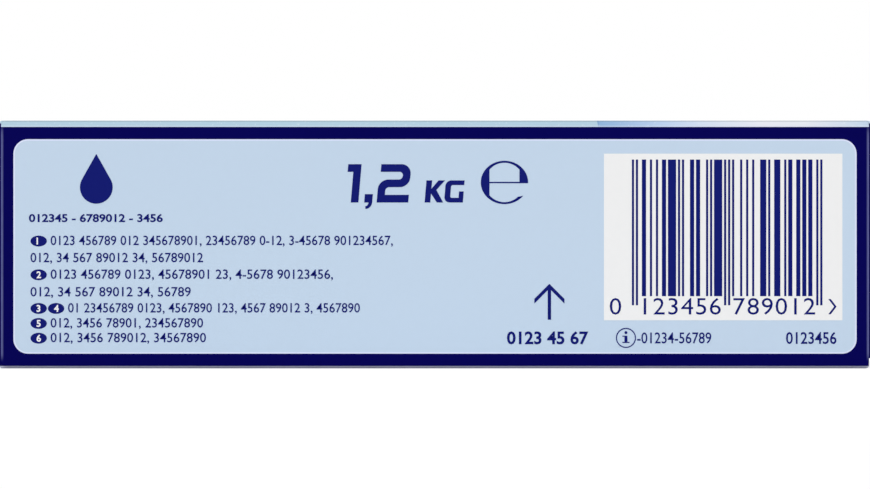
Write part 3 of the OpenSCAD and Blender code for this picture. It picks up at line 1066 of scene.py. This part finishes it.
def round_sign(marks):
    """Open ring with flat inner sides and a bar across it."""
    outer = (marks.sign[0] / 2, marks.sign[1] / 2)
    radius, flat, bar = marks.sign_inner, marks.sign_mouth, marks.sign_bar / 2
    corner = math.degrees(math.acos(flat / radius))
    lip, tip = 47, 38
    body = arc((0, 0), outer, -2, 360 - tip, 72)
    back = arc((0, 0), (radius, radius), 360 - lip, 180 + corner, 24)
    counter = arc((0, 0), (radius, radius), corner, 180 - corner, 30)
    foot = body[0][1]
    return [
        body + back + [(-flat, foot)],
        counter + [(-flat, foot + 2 * bar), (flat, foot + 2 * bar)]
    ]


class PACK_OT_net_weight(bpy.types.Operator):
    """Print the net weight in plain figures, with the round sign after it"""

    bl_idname = "salt_pack.net_weight"
    bl_label = "Net weight"
    bl_options = {"REGISTER", "UNDO"}

    def execute(self, context):
        carton, _, marks = settings()
        ink = bpy.data.materials["mark_print"]
        stroke, gap = marks.figure_stroke, marks.figure_gap
        k_width, g_width = unit_widths(marks)
        comma_left = 1.75 * stroke + 1.2 * gap
        two_left = comma_left + stroke + gap
        unit_left = two_left + marks.figure_width + marks.group_gap
        g_left = unit_left + k_width + marks.unit_gap
        sign_left = g_left + g_width + marks.group_gap
        shapes = (
            (figure_one(marks), 0), (comma(marks), comma_left), (figure_two(marks), two_left),
            (letter_k(marks), unit_left), (letter_g(marks), g_left),
        )
        parts = []
        for loop, left in shapes:
            mesh = flat_outline([slanted(loop, marks)], carton.ink_root)
            spot = (marks.weight[0] + left, marks.weight[1])
            parts.append((mesh, from_corner(spot, INK_LEVEL)))
        add_piece("net_weight", join_meshes(parts), [ink])
        middle = (
            marks.weight[0] + sign_left + marks.sign[0] / 2,
            marks.weight[1] + marks.figure_height / 2 + marks.sign_rise
        )
        sign = flat_outline(round_sign(marks), carton.ink_root)
        add_piece("round_sign", join_meshes([(sign, from_corner(middle, INK_LEVEL))]), [ink])
        return {"FINISHED"}


# Small print

# In the words of a line each # stands for the next digit from 0 to 9 in turn
# Layout of each line from the top down: ovals before it, its length and its drop from the top
# line in millimetres, and its words
LINES = (
    (1, 59.67, 0, "#### ###### ### #########, ######## #-##, #-##### #########,"),
    (0, 28.42, 2.82, "###, ## ### ##### ##, ########"),
    (1, 49.81, 5.56, "#### ###### ####, ######## ##, #-#### ########,"),
    (0, 26.4, 8.45, "###, ## ### ##### ##, #####"),
    (2, 54.25, 11.1, "## ######## ####, ####### ###, #### ##### #, #######"),
    (1, 28.42, 13.57, "###, #### #####, #########"),
    (1, 28.9, 16.0, "###, #### ######, ########"),
)
# Piece, its place in MarkSizes, its length and its digits' height in millimetres, what each
# stroke gains as a share of that height, and its words
SINGLE_LINES = (
    ("short_line", "motto", 22.05, 1.22, 0.035, "###### - ####### - ####"),
    ("bold_line", "bold", 13.4, 1.94, 0.036, "#### ## ##"),
    ("code_line", "code", 12.2, 1.75, 0.008, "-#####-#####"),
    ("number_line", "number", 8.3, 1.86, 0.016, "#######"),
)


def with_digits(words):
    """The words with their places filled by digits in turn."""
    digit = 0
    filled = ""
    for sign in words:
        if sign == "#":
            filled += str(digit % 10)
            digit += 1
        else:
            filled += sign
    return filled


class PACK_OT_small_print(bpy.types.Operator):
    """Print rows of plain digits and bare ovals in the place of the small print"""

    bl_idname = "salt_pack.small_print"
    bl_label = "Small print"
    bl_options = {"REGISTER", "UNDO"}

    def execute(self, context):
        carton, _, marks = settings()
        ink = bpy.data.materials["mark_print"]
        root = carton.ink_root
        pitch = marks.oval[0] + marks.oval_gap
        lines = []
        ovals = []
        numbers = []
        for count, reach, drop, words in LINES:
            left, base = marks.lines[0], marks.lines[1] - mm(drop)
            for index in range(count):
                middle = (left + index * pitch + marks.oval[0] / 2, base + marks.oval_rise)
                loop = arc((0, 0), (marks.oval[0] / 2, marks.oval[1] / 2), 0, 352, 44)
                ovals.append((flat_outline([loop], root), from_corner(middle, FIELD_LEVEL)))
                number = digits_mesh(str(len(numbers) + 1), marks.oval_digit, 0.04, root)
                foot = (middle[0] - marks.oval_digit / 3, middle[1] - marks.oval_digit / 2)
                numbers.append((number, from_corner(foot, INK_LEVEL)))
            start = count * pitch + (marks.oval_space if count else 0)
            filled = with_digits(words)
            mesh = digits_mesh(filled, marks.line_digit, 0.008, root, mm(reach) - start)
            spot = (left + start, base - marks.line_drop)
            lines.append((mesh, from_corner(spot, INK_LEVEL)))
        add_piece("small_print", join_meshes(lines), [ink])
        add_piece("line_ovals", join_meshes(ovals), [ink])
        add_piece("oval_numbers", join_meshes(numbers), [bpy.data.materials["white_print"]])

        for name, spot, reach, height, weight, words in SINGLE_LINES:
            mesh = digits_mesh(with_digits(words), mm(height), weight, root, mm(reach))
            matrix = from_corner(getattr(marks, spot), INK_LEVEL)
            add_piece(name, join_meshes([(mesh, matrix)]), [ink])
        return {"FINISHED"}


# Signs


def drop_outline(marks):
    """Round end below and a point above, joined by tangents."""
    radius, height = marks.drop_radius, marks.drop_height
    lean = math.degrees(math.asin(radius / (height - radius)))
    return [arc((0, radius), (radius, radius), 180 - lean, 360 + lean, 40) + [(0, height)]]


def arrow_outline(marks):
    """Upright arrow with an open head."""
    height, stroke = marks.arrow_height, marks.arrow_stroke
    head = 0.42 * height
    drop = 1.4 * stroke
    half = stroke / 2
    return [[
        (-half, 0), (half, 0), (half, height - drop - half), (head, height - head - drop),
        (head, height - head), (0, height), (-head, height - head), (-head, height - head - drop),
        (-half, height - drop - half)
    ]]


def ring_outline(marks):
    """Ring round a dot over a short stroke with a foot."""
    radius = marks.ring_radius
    stem, foot, serif = 0.15 * radius, 0.35 * radius, 0.1 * radius
    base, top = -0.5 * radius, 0.22 * radius
    stroke = [
        (-foot, base), (foot, base), (foot, base + serif), (stem, base + serif), (stem, top),
        (-foot, top), (-foot, top - serif), (-stem, top - serif), (-stem, base + serif),
        (-foot, base + serif)
    ]
    dot = circle((0, 0.53 * radius), stem, 16)
    return [circle((0, 0), radius), circle((0, 0), radius - marks.ring_stroke), stroke, dot]


class PACK_OT_signs(bpy.types.Operator):
    """Print the drop, the arrow and the ring sign"""

    bl_idname = "salt_pack.signs"
    bl_label = "Signs"
    bl_options = {"REGISTER", "UNDO"}

    def execute(self, context):
        carton, _, marks = settings()
        ink = bpy.data.materials["mark_print"]
        signs = (
            ("drop_sign", drop_outline(marks), marks.drop),
            ("arrow_sign", arrow_outline(marks), marks.arrow),
            ("ring_sign", ring_outline(marks), marks.ring),
        )
        for name, loops, spot in signs:
            mesh = flat_outline(loops, carton.ink_root)
            add_piece(name, join_meshes([(mesh, from_corner(spot, INK_LEVEL))]), [ink])
        return {"FINISHED"}


# Stage


def white_backdrop(ambient):
    """World that the eye sees as white and that lights the pack evenly with the ambient strength."""
    shader = Shader(bpy.data.worlds.new("studio"))
    strength = ambient + shader.seen() * (1 - ambient)
    white = {"Color": (1, 1, 1, 1), "Strength": strength}
    return shader.finish(shader.node("ShaderNodeBackground", None, white), "World")


def floor_finish(studio):
    """White floor that keeps the shadow: part of it is its own light where the eye sees it."""
    shader = material_shader("studio_floor")
    paper = shader.node("ShaderNodeBsdfDiffuse", None, {"Color": (0.95, 0.95, 0.95, 1)})
    white = {"Color": (1, 1, 1, 1), "Strength": studio.glow}
    glow = shader.node("ShaderNodeEmission", None, white)
    share = shader.seen() * studio.glow_share
    surface = shader.node("ShaderNodeMixShader", None, {0: share, 1: paper, 2: glow})
    return shader.finish(surface)


class PACK_OT_stage(bpy.types.Operator):
    """Set up the floor, the light and the camera"""

    bl_idname = "salt_pack.stage"
    bl_label = "Stage"
    bl_options = {"REGISTER", "UNDO"}

    def execute(self, context):
        scene = context.scene
        studio = scene.salt_studio
        bm = bmesh.new()
        bmesh.ops.create_grid(bm, x_segments=1, y_segments=1, size=studio.floor / 2)
        mesh = bpy.data.meshes.new("floor")
        bm.to_mesh(mesh)
        bm.free()
        mesh.materials.append(floor_finish(studio))
        floor = bpy.data.objects.new("floor", mesh)
        scene.collection.objects.link(floor)

        scene.world = white_backdrop(studio.ambient)
        for name, turn, softness in LAMPS:
            light = bpy.data.lights.new(name, "SUN")
            light.energy = getattr(studio, name)
            light.angle = math.radians(softness)
            lamp = bpy.data.objects.new(name, light)
            lamp.rotation_euler = [math.radians(angle) for angle in turn]
            scene.collection.objects.link(lamp)

        data = bpy.data.cameras.new("camera")
        data.lens = studio.lens
        data.sensor_width = studio.sensor
        data.clip_start = studio.near
        data.clip_end = studio.far
        camera = bpy.data.objects.new("camera", data)
        distance = (WIDTH - 2 * studio.trim) * studio.lens / studio.sensor
        camera.location = (0, LOW.y - distance, THICKNESS / 2)
        camera.rotation_euler = (math.pi / 2, 0, 0)
        scene.collection.objects.link(camera)
        scene.camera = camera
        scene.view_settings.view_transform = "Standard"
        return {"FINISHED"}


class PACK_PT_sidebar(bpy.types.Panel):
    """The pack's pieces and its stage, in the 3D view's sidebar"""

    bl_idname = "PACK_PT_sidebar"
    bl_label = "Salt pack"
    bl_space_type = "VIEW_3D"
    bl_region_type = "UI"
    bl_category = "Salt pack"

    def draw(self, context):
        for operator in OPERATORS:
            self.layout.operator(operator.bl_idname)


GROUPS = {
    "salt_carton": CartonSizes,
    "salt_panel": PanelSizes,
    "salt_marks": MarkSizes,
    "salt_front": FrontSizes,
    "salt_colours": PrintColours,
    "salt_studio": Studio,
}
OPERATORS = (
    PACK_OT_carton,
    PACK_OT_panels,
    PACK_OT_bar_code,
    PACK_OT_net_weight,
    PACK_OT_small_print,
    PACK_OT_signs,
    PACK_OT_stage,
)


def register():
    for cls in (*GROUPS.values(), *OPERATORS, PACK_PT_sidebar):
        bpy.utils.register_class(cls)
    for name, group in GROUPS.items():
        setattr(bpy.types.Scene, name, PointerProperty(type=group))


def unregister():
    for name in GROUPS:
        delattr(bpy.types.Scene, name)
    for cls in reversed((*GROUPS.values(), *OPERATORS, PACK_PT_sidebar)):
        bpy.utils.unregister_class(cls)


def main():
    """Registers the add-on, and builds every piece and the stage."""
    register()
    bpy.ops.salt_pack.carton()
    bpy.ops.salt_pack.panels()
    bpy.ops.salt_pack.bar_code()
    bpy.ops.salt_pack.net_weight()
    bpy.ops.salt_pack.small_print()
    bpy.ops.salt_pack.signs()
    bpy.ops.salt_pack.stage()


if __name__ == "__main__":
    main()
